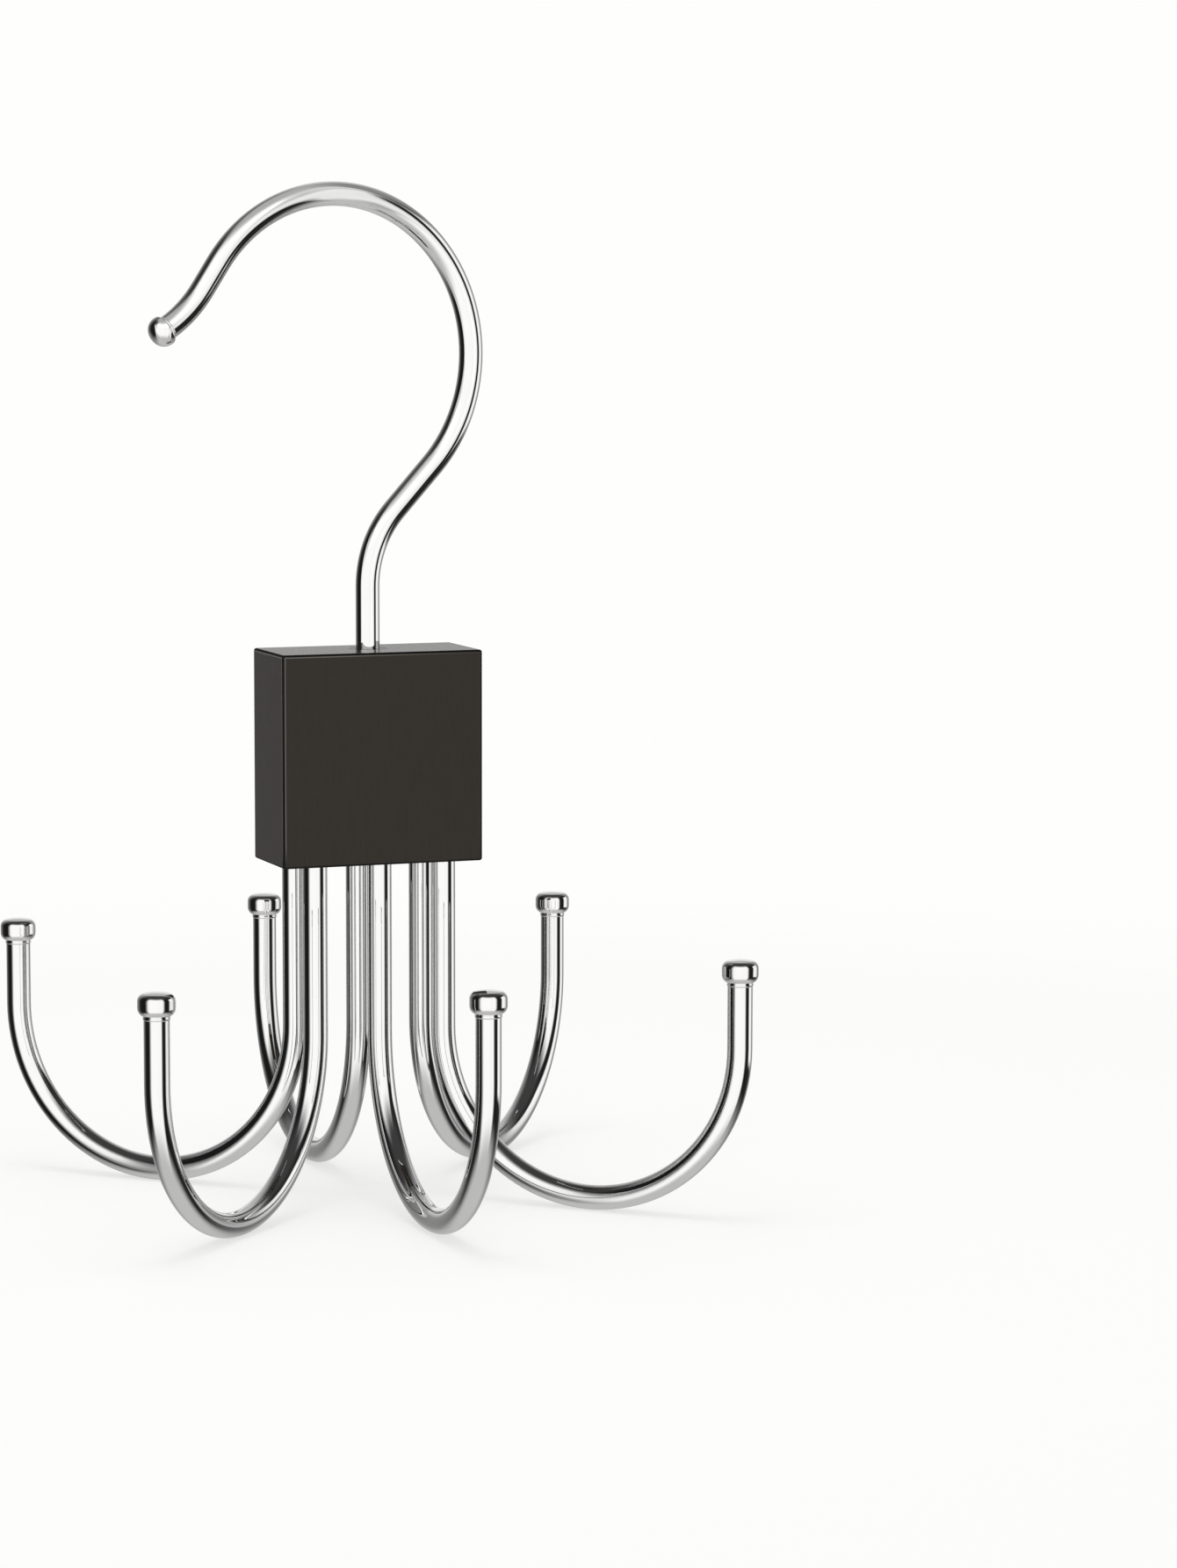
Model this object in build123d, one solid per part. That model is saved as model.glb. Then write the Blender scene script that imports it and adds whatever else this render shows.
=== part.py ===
"""Tie and belt hanger: a black wooden block that turns under a chromed hanging hook and carries six more.

The frame is the hanger's own: +Z up, X across the block's width, Y through its depth, with the back at +Y.
The origin lies under the middle of the block, on the surface that the six bowls stand on.
Lengths are in millimetres and angles in degrees.
"""

from build123d import *
import os

# Six tie hooks, all bent alike from one size of rod
rod_diameter = 4.5
bowl_radius = 29.5  # of the rod's centre line, round the half turn of the bowl
cap_top_height = 47.8  # top of the capped ends above the surface
corner_hook_turn = 45.0  # how far the four corner hooks splay from the block's width

# The block and where it sits
block_width = 38.2
block_depth = 18.0
block_height = 38.8
block_underside_height = 62.5
block_edge_round = 0.5

# The turned-down top end of each rod, glued into a blind socket in the underside
tenon_length = 14.0
tenon_step = 0.45  # how far the rod's shoulder stands out from its tenon
tenon_end_chamfer = 0.4
glue_gap = 0.05
socket_end_gap = 0.1  # between the tenon's end and the socket's floor
socket_face_wall = 0.9  # wood left between a socket and the nearest broad face
socket_side_wall = 4.95  # wood left between a corner socket and the nearest narrow face
groove_count = 4
groove_depth = 0.2
groove_width = 0.8

# The pressed cap on the free end of each rod
cap_overhang = 1.05  # how far the cap's barrel stands out from the rod
cap_height = 4.75
cap_bead_overhang = 0.14  # how far the bead at the cap's foot stands out from the rod
cap_bead_height = 0.6
cap_crown_round = 1.35
cap_spigot_step = 0.85  # how far the rod stands out from the spigot inside the cap
cap_top_wall = 1.5

# The hanging hook, one bent wire, listed from the block upwards
wire_diameter = 4.4
shank_length = 11.4
neck_radius = 19.5
neck_turn = 45.0
neck_run = 11.3
crook_radius = 28.9
crook_turn = 190.4
lip_run = 5.6
flare_radius = 24.0
flare_turn = 23.2
hook_turn_at_rest = 12.0  # how far the hook stands turned from the block's width

# The smaller cap on the hanging hook's tip
tip_cap_overhang = 0.6
tip_cap_height = 3.6
tip_cap_bead_overhang = 0.12
tip_cap_bead_height = 0.5
tip_cap_crown_round = 1.3
tip_cap_spigot_step = 0.9
tip_cap_top_wall = 1.3

# The swivel in the top of the block: a barbed bush, and a washer that the shank's end is peened over
swivel_gap = 0.05  # between the shank and the bush's bore
bush_wall = 1.25
bush_length = 10.0
bush_recess = 0.2  # the bush's top below the block's
bush_press_gap = 0.02
bush_barb_count = 3
bush_barb_depth = 0.2
bush_barb_width = 1.2
swivel_lift = 0.12  # end play between the washer and the bush
washer_thickness = 0.8
washer_hole_gap = 0.03
washer_rim_gap = 0.25  # between the washer and the wall of the well
rivet_head_overhang = 0.7
rivet_head_height = 1.5
rivet_crown_share = 0.55  # width of the flat left on the peened head, as a share of the head's
well_floor_gap = 0.4
well_mouth_chamfer = 0.2

cap_belly_share = 0.55  # how far up a cap's side, from its bead to its crown, it reaches full width
rivet_belly_share = 0.86  # width of the peened head at half its height, as a share of its full width
cap_bore_gap = 0.02  # between a spigot and its cap, all round and at the end
overrun = 1.0  # how far every cutting tool runs past the face it enters by

rod_radius = rod_diameter / 2
wire_radius = wire_diameter / 2
tenon_radius = rod_radius - tenon_step
socket_radius = tenon_radius + glue_gap
column_offset = block_width / 2 - socket_side_wall - socket_radius
row_offset = block_depth / 2 - socket_face_wall - socket_radius
bowl_centre_height = rod_radius + bowl_radius
block_top_height = block_underside_height + block_height

bush_radius = wire_radius + swivel_gap + bush_wall
well_radius = bush_radius + bush_press_gap
washer_radius = well_radius - washer_rim_gap
rivet_head_radius = wire_radius + rivet_head_overhang
bush_top_height = block_top_height - bush_recess
washer_foot_height = bush_top_height - bush_length - swivel_lift - washer_thickness
rivet_foot_height = washer_foot_height - rivet_head_height
well_floor_height = rivet_foot_height - well_floor_gap

# The hooks' names, the column and row of each socket, and the way each hook points, seen from above
tie_hook_places = {
    "front_left": (-1, -1, 180 + corner_hook_turn),
    "front_middle": (0, -1, 270),
    "front_right": (1, -1, -corner_hook_turn),
    "back_left": (-1, 1, 180 - corner_hook_turn),
    "back_middle": (0, 1, 90),
    "back_right": (1, 1, corner_hook_turn),
}

standing = (Align.CENTER, Align.CENTER, Align.MIN)
hanging = (Align.CENTER, Align.CENTER, Align.MAX)


def place_of(name):
    """Where a tie hook's rod meets the block, turned the way that the hook points."""
    column, row, heading = tie_hook_places[name]
    return Pos(column * column_offset, row * row_offset) * Rot(0, 0, heading)


def grooved(cylinder, radius, length, count, depth, width):
    """A cylinder on Z, standing on z = 0, with this many ring grooves turned evenly along its length."""
    ring = Cylinder(radius + overrun, width) - Cylinder(radius - depth, width)
    for number in range(count):
        cylinder -= Pos(0, 0, length * (number + 1) / (count + 1)) * ring
    return cylinder


def tube_along(edges, diameter):
    """A round wire swept along edges that meet smoothly."""
    path = Wire(edges)
    section = Plane(origin=path @ 0, z_dir=path % 0) * Circle(diameter / 2)
    return sweep(section, path=path)


def spigot(stem_radius, step, cap_length, top_wall):
    """The thinner end of a stem, which a cap is pressed onto."""
    return Cylinder(stem_radius - step, cap_length - top_wall - cap_bore_gap, align=standing)


def pressed_cap(
    stem_radius,
    overhang,
    height,
    bead_overhang,
    bead_height,
    crown_round,
    spigot_step,
    top_wall,
):
    """A barrel-shaped cap that stands on its stem's end, at z = 0, with a blind bore for the stem's spigot."""
    barrel_radius = stem_radius + overhang
    crown_foot_height = height - crown_round
    belly_height = bead_height + (crown_foot_height - bead_height) * cap_belly_share
    bore_radius = stem_radius - spigot_step + cap_bore_gap
    bore_height = height - top_wall
    foot = Line((bore_radius, 0), (stem_radius, 0))
    bead_side = (stem_radius + bead_overhang, bead_height / 2)
    bead = ThreePointArc(foot @ 1, bead_side, (stem_radius, bead_height))
    crown = CenterArc((barrel_radius - crown_round, crown_foot_height), crown_round, 0, 90)
    side = Line((barrel_radius, belly_height), crown @ 0)
    shoulder = TangentArc(side @ 0, bead @ 1, tangent=(0, -1))
    inside = Polyline(crown @ 1, (0, height), (0, bore_height), (bore_radius, bore_height), foot @ 0)
    profile = make_face([foot, bead, shoulder, side, crown, inside])
    return revolve(Plane.XZ * profile, Axis.Z)


def tie_hook():
    """One rod, bent to a half-round bowl, with a tenon for its socket and a spigot for its cap.

    It points along +X from the shoulder that seats on the block's underside.
    """
    cap_foot_height = cap_top_height - cap_height
    bowl_start = (0, bowl_centre_height)
    bowl_floor = (bowl_radius, rod_radius)
    bowl_end = (bowl_radius * 2, bowl_centre_height)
    edges = [
        Line((0, block_underside_height), bowl_start),
        ThreePointArc(bowl_start, bowl_floor, bowl_end),
        Line(bowl_end, (bowl_radius * 2, cap_foot_height)),
    ]
    rod = Plane.XZ * tube_along(edges, rod_diameter)
    tenon = Cylinder(tenon_radius, tenon_length, align=standing)
    tenon = chamfer(tenon.edges().sort_by(Axis.Z)[-1], tenon_end_chamfer)
    tenon = grooved(tenon, tenon_radius, tenon_length, groove_count, groove_depth, groove_width)
    cap_spigot = spigot(rod_radius, cap_spigot_step, cap_height, cap_top_wall)
    rod += Pos(0, 0, block_underside_height) * tenon
    rod += Pos(bowl_radius * 2, 0, cap_foot_height) * cap_spigot
    return rod


def tie_hook_cap():
    """The cap on a tie hook's end, where the hook holds it."""
    cap = pressed_cap(
        rod_radius,
        cap_overhang,
        cap_height,
        cap_bead_overhang,
        cap_bead_height,
        cap_crown_round,
        cap_spigot_step,
        cap_top_wall,
    )
    return Pos(bowl_radius * 2, 0, cap_top_height - cap_height) * cap


def hanging_hook_route():
    """The hanging hook's centre line in its own plane, from the block's top to the shoulder of its tip."""
    shank = Line((0, block_top_height), (0, block_top_height + shank_length))
    neck = JernArc(shank @ 1, shank % 1, neck_radius, -neck_turn)
    rise = Line(neck @ 1, neck @ 1 + neck % 1 * neck_run)
    crook = JernArc(rise @ 1, rise % 1, crook_radius, crook_turn)
    lip = Line(crook @ 1, crook @ 1 + crook % 1 * lip_run)
    flare = JernArc(lip @ 1, lip % 1, flare_radius, -flare_turn)
    return [shank, neck, rise, crook, lip, flare]


def tip_plane():
    """The plane of the hanging hook's shoulder, facing the way that its tip points."""
    flare = hanging_hook_route()[-1]
    heading = flare % 1
    end = flare @ 1
    return Plane(origin=(end.X, 0, end.Y), z_dir=(heading.X, 0, heading.Y))


def rivet_head():
    """The shank's peened end, a low dome under the washer."""
    crown_radius = rivet_head_radius * rivet_crown_share
    belly = (rivet_head_radius * rivet_belly_share, (washer_foot_height + rivet_foot_height) / 2)
    rim = Line((0, washer_foot_height), (rivet_head_radius, washer_foot_height))
    dome = ThreePointArc(rim @ 1, belly, (crown_radius, rivet_foot_height))
    back = Polyline(dome @ 1, (0, rivet_foot_height), rim @ 0)
    return revolve(Plane.XZ * make_face([rim, dome, back]), Axis.Z)


def hanging_hook():
    """The bent wire with its shank, peened head and tip spigot, turned as it stands at rest."""
    route = hanging_hook_route()
    buried_shank = Line((0, washer_foot_height), route[0] @ 0)
    wire = Plane.XZ * tube_along([buried_shank] + route, wire_diameter)
    tip_spigot = spigot(wire_radius, tip_cap_spigot_step, tip_cap_height, tip_cap_top_wall)
    return Rot(0, 0, hook_turn_at_rest) * (wire + rivet_head() + tip_plane() * tip_spigot)


def hanging_hook_cap():
    """The cap on the hanging hook's tip."""
    cap = pressed_cap(
        wire_radius,
        tip_cap_overhang,
        tip_cap_height,
        tip_cap_bead_overhang,
        tip_cap_bead_height,
        tip_cap_crown_round,
        tip_cap_spigot_step,
        tip_cap_top_wall,
    )
    return Rot(0, 0, hook_turn_at_rest) * (tip_plane() * cap)


def swivel_bush():
    """The barbed bush that is pressed into the top of the block and carries the shank."""
    bush = Cylinder(bush_radius, bush_length, align=standing)
    bush = grooved(bush, bush_radius, bush_length, bush_barb_count, bush_barb_depth, bush_barb_width)
    bush -= Cylinder(wire_radius + swivel_gap, (bush_length + overrun) * 2)
    return Pos(0, 0, bush_top_height - bush_length) * bush


def hook_washer():
    """The plain washer between the bush and the peened head."""
    washer = Cylinder(washer_radius, washer_thickness, align=standing)
    washer -= Cylinder(wire_radius + washer_hole_gap, (washer_thickness + overrun) * 2)
    return Pos(0, 0, washer_foot_height) * washer


def block():
    """The wooden block, with six sockets in its underside and the swivel's well in its top."""
    body = Box(block_width, block_depth, block_height, align=standing)
    body = Pos(0, 0, block_underside_height) * fillet(body.edges(), block_edge_round)
    well = Cylinder(well_radius, block_top_height - well_floor_height + overrun, align=standing)
    body -= Pos(0, 0, well_floor_height) * well
    mouth = Cone(well_radius, well_radius + well_mouth_chamfer, well_mouth_chamfer, align=hanging)
    body -= Pos(0, 0, block_top_height) * mouth
    socket_height = tenon_length + socket_end_gap
    socket = Cylinder(socket_radius, socket_height + overrun, align=hanging)
    for name in tie_hook_places:
        body -= Pos(0, 0, block_underside_height + socket_height) * place_of(name) * socket
    return body


nodes = {
    "block": block(),
    "swivel_bush": swivel_bush(),
    "hook_washer": hook_washer(),
    "hanging_hook": hanging_hook(),
    "hanging_hook_cap": hanging_hook_cap(),
}
for name in tie_hook_places:
    nodes["tie_hook_" + name] = place_of(name) * tie_hook()
    nodes["tie_hook_cap_" + name] = place_of(name) * tie_hook_cap()

os.makedirs("parts", exist_ok=True)
for name, solid in nodes.items():
    export_step(solid, "parts/" + name + ".step")
    print(name, round(solid.volume), "mm3")
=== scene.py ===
# %% [markdown]
# # A tie hanger: seven chromed hooks on a black lacquered block
#
# The real hanger is bent from two sizes of steel wire, plated with bright chrome, and glued or
# riveted into one small block of black wood. Its CAD model fixes every size and every place.
# This script dresses that model: it bends the wires again as smooth tubes, turns the caps,
# planes the block, and gives each surface the finish that the eye sees.
#
# Lengths are written in millimetres, as a drawing would give them, and `mm` turns them to metres.

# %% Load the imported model, which stays the measure of everything
import math

import bpy
from mathutils import Matrix, Vector


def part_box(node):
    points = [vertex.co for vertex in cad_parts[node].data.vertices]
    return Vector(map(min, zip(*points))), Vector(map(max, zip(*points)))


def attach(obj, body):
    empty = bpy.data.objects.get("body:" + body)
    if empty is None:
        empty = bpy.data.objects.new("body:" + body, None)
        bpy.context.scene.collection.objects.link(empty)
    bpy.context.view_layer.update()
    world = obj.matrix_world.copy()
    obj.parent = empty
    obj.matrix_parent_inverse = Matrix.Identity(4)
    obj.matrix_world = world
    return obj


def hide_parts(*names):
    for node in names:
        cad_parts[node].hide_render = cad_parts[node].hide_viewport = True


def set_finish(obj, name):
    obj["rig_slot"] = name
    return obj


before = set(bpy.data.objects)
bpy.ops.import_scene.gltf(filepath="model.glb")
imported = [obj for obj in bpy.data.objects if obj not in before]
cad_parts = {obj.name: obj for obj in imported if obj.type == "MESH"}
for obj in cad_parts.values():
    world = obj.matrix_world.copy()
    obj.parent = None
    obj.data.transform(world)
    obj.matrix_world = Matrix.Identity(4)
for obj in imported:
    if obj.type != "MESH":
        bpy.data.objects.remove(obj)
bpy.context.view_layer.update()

mm = 0.001

# %% [markdown]
# ## The camera
#
# A product shot like this one is taken from a little under a metre away with a long lens, so that
# the hooks in front hardly look larger than those behind. The camera could be aimed with a
# constraint, but its place, its turn and its slight roll are known numbers here, so its three axes
# are worked out from them. Its lens is given by the long side of the picture, 1785 pixels.

# %% Camera
picture_height = 1785
focal_pixels = 5417.529
sensor_long_side = 36.0
camera_distance = 872.781 * mm
camera_yaw = math.radians(20.959)
camera_pitch = math.radians(6.456)
camera_roll = math.radians(0.107)
aim_right = 40.411 * mm
aim_height = 76.399 * mm

looking = Vector((
    math.sin(camera_yaw) * math.cos(camera_pitch),
    math.cos(camera_yaw) * math.cos(camera_pitch),
    -math.sin(camera_pitch),
))
level_right = Vector((math.cos(camera_yaw), -math.sin(camera_yaw), 0))
level_up = level_right.cross(looking)
right = math.cos(camera_roll) * level_right + math.sin(camera_roll) * level_up
up = math.cos(camera_roll) * level_up - math.sin(camera_roll) * level_right
camera_place = Vector((0, 0, aim_height)) + right * aim_right - looking * camera_distance

lens = bpy.data.cameras.new("studio_camera")
lens.sensor_width = sensor_long_side
lens.lens = focal_pixels / picture_height * sensor_long_side
lens.clip_start = 10 * mm
lens.clip_end = 100
camera = bpy.data.objects.new("studio_camera", lens)
bpy.context.scene.collection.objects.link(camera)
turned = Matrix((right, up, -looking)).transposed()
camera.matrix_world = Matrix.Translation(camera_place) @ turned.to_4x4()
bpy.context.scene.camera = camera
print("camera at", [round(v / mm) for v in camera_place], "mm, lens", round(lens.lens, 1), "mm")

# %% [markdown]
# ## Bending a wire
#
# A wire bender feeds straight wire and turns it round a former. The same two moves make the mesh:
# a ring of points is extruded for a straight run and spun round a centre for a bend. A bevelled
# curve would be quicker, but runs and bends keep the exact radii of the CAD model, and the rings
# stay square to the wire, which bright chrome needs: any wobble in them shows in its reflections.
# All wires lie in the XZ plane while they are bent, with X to the right and Z up.

# %% Rings, runs and bends
around = 64
degrees_per_ring = 3.0
smooth_below = 40


def start_ring(radius, x, z):
    """Adds an open, level ring and enters edit mode with the ring selected."""
    bpy.ops.object.select_all(action="DESELECT")
    bpy.ops.mesh.primitive_circle_add(vertices=around, radius=radius, location=(x, 0, z))
    bpy.ops.object.mode_set(mode="EDIT")
    bpy.ops.mesh.select_all(action="SELECT")
    return {"x": x, "z": z, "heading": math.radians(90), "radius": radius}


def run(end, length):
    """Feeds the wire straight ahead by this length."""
    step = Vector((math.cos(end["heading"]), 0, math.sin(end["heading"]))) * length
    bpy.ops.mesh.extrude_region_move(TRANSFORM_OT_translate={"value": step})
    end["x"] += step.x
    end["z"] += step.z


def swell(end, radius):
    """Scales the ring at the wire's end to this radius."""
    share = radius / end["radius"]
    centre = (end["x"], 0, end["z"])
    bpy.ops.transform.resize(value=(share, share, share), center_override=centre)
    end["radius"] = radius


def bend(end, bend_radius, degrees):
    """Turns the wire to its left, or to its right where degrees is negative."""
    turn = math.radians(degrees)
    side = end["heading"] + math.copysign(math.pi / 2, turn)
    centre = Vector((end["x"], 0, end["z"]))
    centre += Vector((math.cos(side), 0, math.sin(side))) * bend_radius
    rings = math.ceil(abs(degrees) / degrees_per_ring)
    axis = (0, math.copysign(1, turn), 0)
    bpy.ops.mesh.spin(steps=rings, angle=abs(turn), center=centre, axis=axis)
    end["heading"] += turn
    side += turn
    end["x"] = centre.x - math.cos(side) * bend_radius
    end["z"] = centre.z - math.sin(side) * bend_radius


def finish_piece(name):
    """Closes the open ends, turns all faces outwards and smooths all but the sharp edges."""
    bpy.ops.mesh.select_all(action="SELECT")
    bpy.ops.mesh.fill_holes(sides=0)
    bpy.ops.mesh.select_all(action="SELECT")
    bpy.ops.mesh.normals_make_consistent(inside=False)
    bpy.ops.object.mode_set(mode="OBJECT")
    bpy.ops.object.transform_apply(location=True, rotation=True, scale=True)
    bpy.ops.object.shade_smooth_by_angle(angle=math.radians(smooth_below))
    piece = bpy.context.active_object
    piece.name = name
    piece.data.name = name
    print(name, len(piece.data.polygons), "faces")
    return piece


# %% [markdown]
# ## One tie hook, from its tenon to its spigot
#
# Each tie hook is a 4.5 mm rod. Its top end is turned down to a grooved tenon for glue, its foot
# is bent in a half turn, and its free end is turned down again to a spigot for the cap. The
# tenon and the spigot are hidden, but they are modelled, because the piece is kept as a solid.
# The hook is drawn upside down, as the bender would feed it: from the tenon's end down to the bowl.

# %% Tie hook
rod_radius = 2.25 * mm
bowl_radius = 29.5 * mm
cap_top = 47.8 * mm
cap_height = 4.75 * mm
block_foot = 62.5 * mm
block_height = 38.8 * mm
tenon_radius = 1.8 * mm
tenon_length = 14.0 * mm
tenon_chamfer = 0.4 * mm
groove_depth = 0.2 * mm
groove_width = 0.8 * mm
groove_count = 4
spigot_radius = 1.4 * mm
spigot_length = 3.23 * mm


def grooved_run(end, radius, length, count, depth, width, gone):
    """A straight run with ring grooves spread evenly. gone is how much of its length is fed."""
    for number in range(count):
        groove_start = length * (number + 1) / (count + 1) - width / 2
        run(end, groove_start - gone)
        run(end, 0)
        swell(end, radius - depth)
        run(end, width)
        run(end, 0)
        swell(end, radius)
        gone = groove_start + width
    return gone


end = start_ring(tenon_radius - tenon_chamfer, 0, block_foot + tenon_length)
end["heading"] = math.radians(-90)
run(end, tenon_chamfer)
swell(end, tenon_radius)
grooved = grooved_run(
    end, tenon_radius, tenon_length, groove_count, groove_depth, groove_width, tenon_chamfer
)
run(end, tenon_length - grooved)
run(end, 0)
swell(end, rod_radius)
run(end, block_foot - rod_radius - bowl_radius)
bend(end, bowl_radius, 180)
run(end, cap_top - cap_height - rod_radius - bowl_radius)
run(end, 0)
swell(end, spigot_radius)
run(end, spigot_length)
tie_hook = finish_piece("tie_hook_pattern")

# %% [markdown]
# ## The cap, turned like on a lathe
#
# Each free end carries a small barrel-shaped cap, pressed onto the spigot, with a thin bead at its
# foot, so that silk slides over it without snagging. The polishing wheel leaves its top slightly
# cambered, so its mirror fades from one tone to the next where a flat top would show a single
# tone. A screw of the profile round an axis would do, but the same rings as for the wire, fed
# straight up and swelled or shrunk, follow the profile point by point and make a clean mesh of
# even quads. The profile starts inside the bore, runs down to the foot, round the bead, up the
# barrel and over the crown.

# %% Cap profiles
belly_share = 0.55
arc_points = 12
bead_points = 8
merge_distance = 0.001 * mm


def arc(centre, radius, first, last, count=arc_points):
    """Points on a circle in the profile's plane, from one angle in degrees to another."""
    points = []
    for step in range(1, count + 1):
        angle = math.radians(first + (last - first) * step / count)
        points.append((centre[0] + radius * math.cos(angle), centre[1] + radius * math.sin(angle)))
    return points


def cap_profile(stem, overhang, height, bead_out, bead_height, crown, camber, spigot, top_wall):
    """Radius and height of each ring of a cap that stands on z = 0, from its bore to its crown."""
    barrel = stem + overhang
    slope = math.radians(camber)
    rim = barrel - crown + crown * math.sin(slope)
    top_radius = rim / math.sin(slope)
    crown_foot = height - top_radius * (1 - math.cos(slope)) - crown * math.cos(slope)
    belly = bead_height + (crown_foot - bead_height) * belly_share
    bead_half = bead_height / 2
    bead_radius = (bead_out ** 2 + bead_half ** 2) / (2 * bead_out)
    bead_angle = math.degrees(math.asin(bead_half / bead_radius))
    bead_centre = (stem + bead_out - bead_radius, bead_half)
    rise = belly - bead_height
    shoulder_radius = (overhang ** 2 + rise ** 2) / (2 * overhang)
    shoulder_angle = math.degrees(math.asin(rise / shoulder_radius))
    points = [(spigot, height - top_wall), (spigot, 0), (stem, 0)]
    points += arc(bead_centre, bead_radius, -bead_angle, bead_angle, bead_points)
    points += arc((barrel - shoulder_radius, belly), shoulder_radius, -shoulder_angle, 0)
    points += [(barrel, crown_foot)]
    points += arc((barrel - crown, crown_foot), crown, 0, 90 - camber)
    points += arc((0, height - top_radius), top_radius, 90 - camber, 90 - camber / arc_points)
    return points


def turn(name, profile, closed=False):
    """Turns a piece on the lathe: one ring for each point of its profile."""
    bore_radius, start = profile[0]
    end = start_ring(bore_radius, 0, start)
    for radius, height in profile[1:]:
        run(end, height - end["z"])
        swell(end, radius)
    if closed:
        run(end, start - end["z"])
        swell(end, bore_radius)
        bpy.ops.mesh.select_all(action="SELECT")
        bpy.ops.mesh.remove_doubles(threshold=merge_distance)
    return finish_piece(name)


tie_hook_cap = turn("tie_hook_cap_pattern", cap_profile(
    stem=rod_radius,
    overhang=1.05 * mm,
    height=cap_height,
    bead_out=0.14 * mm,
    bead_height=0.6 * mm,
    crown=1.25 * mm,
    camber=10,
    spigot=1.42 * mm,
    top_wall=1.5 * mm,
))

# %% [markdown]
# ## Six hooks in two rows
#
# The hooks stand in two rows of three. The middle ones point straight to the front and the back,
# and the corner ones splay by 45 degrees, so that six caps stand evenly round the block. One hook
# and one cap are modelled, then duplicated, turned and applied, so that each copy has its own mesh
# and sits at the origin like the CAD node that it stands for.

# %% Place the copies
column = 12.3 * mm
row = 6.25 * mm
tie_hook_places = {
    "front_left": (-column, -row, 225),
    "front_middle": (0, -row, 270),
    "front_right": (column, -row, 315),
    "back_left": (-column, row, 135),
    "back_middle": (0, row, 90),
    "back_right": (column, row, 45),
}
pieces = {}


def copy_of(pattern, name, place):
    """A copy of the pattern with its own mesh, with its place applied."""
    bpy.ops.object.select_all(action="DESELECT")
    pattern.select_set(True)
    bpy.context.view_layer.objects.active = pattern
    bpy.ops.object.duplicate()
    piece = bpy.context.active_object
    piece.matrix_world = place
    bpy.ops.object.transform_apply(location=True, rotation=True, scale=True)
    piece.name = name
    piece.data.name = name
    return piece


def miss(piece, node):
    """The largest distance in mm between the boxes of a piece and of the CAD node it stands for."""
    low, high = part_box(node)
    corners = [vertex.co for vertex in piece.data.vertices]
    own_low = [min(c[i] for c in corners) for i in range(3)]
    own_high = [max(c[i] for c in corners) for i in range(3)]
    pairs = zip(own_low + own_high, (*low, *high))
    return round(max(abs(own - other) for own, other in pairs) / mm, 3)


def stand_for(piece, node, body, slot):
    """The piece takes the node's place in the visual model and rides on its body."""
    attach(piece, body)
    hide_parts(node)
    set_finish(piece, slot)
    pieces[node] = piece
    print(piece.name, "stands for", node, "and misses its box by", miss(piece, node), "mm")


for name, (x, y, heading) in tie_hook_places.items():
    place = Matrix.Translation((x, y, 0)) @ Matrix.Rotation(math.radians(heading), 4, "Z")
    hook = copy_of(tie_hook, "bent_rod_" + name, place)
    stand_for(hook, "tie_hook_" + name, "block_assembly", "chromed_wire")
    cap_place = place @ Matrix.Translation((bowl_radius * 2, 0, cap_top - cap_height))
    cap = copy_of(tie_hook_cap, "pressed_cap_" + name, cap_place)
    stand_for(cap, "tie_hook_cap_" + name, "block_assembly", "chromed_cap")
bpy.data.objects.remove(tie_hook)
bpy.data.objects.remove(tie_hook_cap)

# %% [markdown]
# ## The hanging hook
#
# One 4.4 mm wire is bent three times: aside by a neck above the block, round the large crook that
# goes over the wardrobe rail, and out again in a short flare that guides the rail in. Its lower
# end is peened over a washer inside the block, which lets the hanger turn. At rest the hook stands
# turned by 12 degrees, as in the picture, and that turn is applied to the mesh.

# %% Hanging hook
wire_radius = 2.2 * mm
block_top = block_foot + block_height
bush_recess = 0.2 * mm
bush_top = block_top - bush_recess
bush_length = 10.0 * mm
end_play = 0.12 * mm
washer_thickness = 0.8 * mm
washer_foot = bush_top - bush_length - end_play - washer_thickness
head_height = 1.5 * mm
head_radius = 2.9 * mm
head_belly = head_radius * 0.86
head_flat = head_radius * 0.55
shank_length = 11.4 * mm
neck_radius = 19.5 * mm
neck_turn = 45
neck_run = 11.3 * mm
crook_radius = 28.9 * mm
crook_turn = 190.4
lip_run = 5.6 * mm
flare_radius = 24.0 * mm
flare_turn = 23.2
tip_spigot_radius = 1.3 * mm
tip_spigot_length = 2.28 * mm
hook_turn = math.radians(12)

end = start_ring(head_flat, 0, washer_foot - head_height)
for radius in (head_belly, head_radius):
    run(end, head_height / 2)
    swell(end, radius)
run(end, 0)
swell(end, wire_radius)
run(end, block_top + shank_length - washer_foot)
bend(end, neck_radius, -neck_turn)
run(end, neck_run)
bend(end, crook_radius, crook_turn)
run(end, lip_run)
bend(end, flare_radius, -flare_turn)
tip = dict(end)
run(end, 0)
swell(end, tip_spigot_radius)
run(end, tip_spigot_length)
hook_pattern = finish_piece("hanging_hook_pattern")

at_rest = Matrix.Rotation(hook_turn, 4, "Z")
hook = copy_of(hook_pattern, "bent_wire_hanging", at_rest)
stand_for(hook, "hanging_hook", "hanging_hook_assembly", "chromed_wire")
bpy.data.objects.remove(hook_pattern)

# %% [markdown]
# ## The cap on the hook's tip
#
# The tip has a smaller cap than the tie hooks have, and its end is rounded almost to a ball,
# because it is what the hand and the rail meet first. It is turned from the same profile with a
# larger crown, then leaned over with the wire's last direction.

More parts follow.
